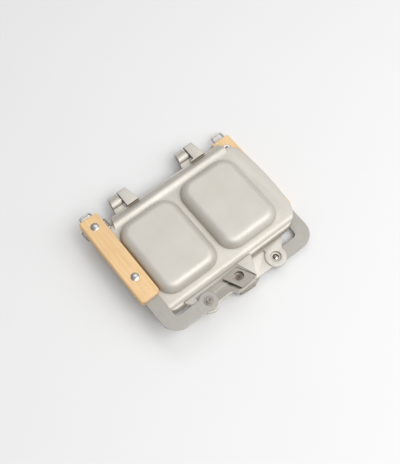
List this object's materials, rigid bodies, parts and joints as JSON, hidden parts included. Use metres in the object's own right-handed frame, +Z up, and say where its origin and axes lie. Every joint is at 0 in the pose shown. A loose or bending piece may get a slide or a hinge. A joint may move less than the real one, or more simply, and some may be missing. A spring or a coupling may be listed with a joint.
{
  "type": "folding hot-sandwich iron",
  "caption": "Hinged cast sandwich iron with raised wells on both sides and riveted swing-out arms with wooden grips.",
  "frame": {"origin": "under the middle of the closed iron (its bounding box), at the height of the lower wells' resting faces; x = 0 is the plane midway between the two arm pivots", "axes": "+X along the hinge axis, to the right seen from above with the hinge at the back; +Y to the back, towards the hinge; +Z up through the upper wells' faces"},
  "size_m": [0.1891, 0.161, 0.0346],
  "materials": {
    "coated_cast": "warm grey non-stick coating, satin",
    "satin_steel": "fine satin sheet",
    "polished_steel": "bright",
    "light_wood": "plain oiled light wood"
  },
  "bodies": {
    "lower_half": {"lower_plate": "coated_cast", "right_hinge_pin": "polished_steel", "lower_bracket": "satin_steel", "lower_bracket_screw": "polished_steel", "lower_pivot_rivet": "polished_steel", "lower_pivot_washer": "satin_steel"},
    "upper_half": {"upper_plate": "coated_cast", "left_hinge_pin": "polished_steel", "upper_bracket": "satin_steel", "upper_bracket_screw": "polished_steel", "upper_pivot_rivet": "polished_steel", "upper_pivot_washer": "satin_steel"},
    "lower_handle": {"lower_arm": "satin_steel", "lower_grip_outer": "light_wood", "lower_grip_inner": "light_wood", "lower_grip_rivets": "polished_steel", "lower_hang_loop": "polished_steel"},
    "upper_handle": {"upper_arm": "satin_steel", "upper_grip_outer": "light_wood", "upper_grip_inner": "light_wood", "upper_grip_rivets": "polished_steel", "upper_hang_loop": "polished_steel"},
    "bail": {"lock_bail": "polished_steel"}
  },
  "joints": [
    {"name": "lid_hinge", "type": "hinge", "parent": "lower_half", "child": "upper_half", "pos_m": [0, 0.07222, 0.0173], "axis": [-1, 0, 0], "range_deg": [0, 180]},
    {"name": "lower_handle_pivot", "type": "hinge", "parent": "lower_half", "child": "lower_handle", "pos_m": [0.042, -0.06978, 0.0064], "axis": [0, 0, -1], "range_deg": [0, 180]},
    {"name": "upper_handle_pivot", "type": "hinge", "parent": "upper_half", "child": "upper_handle", "pos_m": [-0.042, -0.06978, 0.0282], "axis": [0, 0, 1], "range_deg": [0, 180]},
    {"name": "bail_pivot", "type": "hinge", "parent": "upper_handle", "child": "bail", "pos_m": [-0.08275, 0.05072, 0.0263], "axis": [1, 0, 0], "range_deg": [0, 8]}
  ]
}
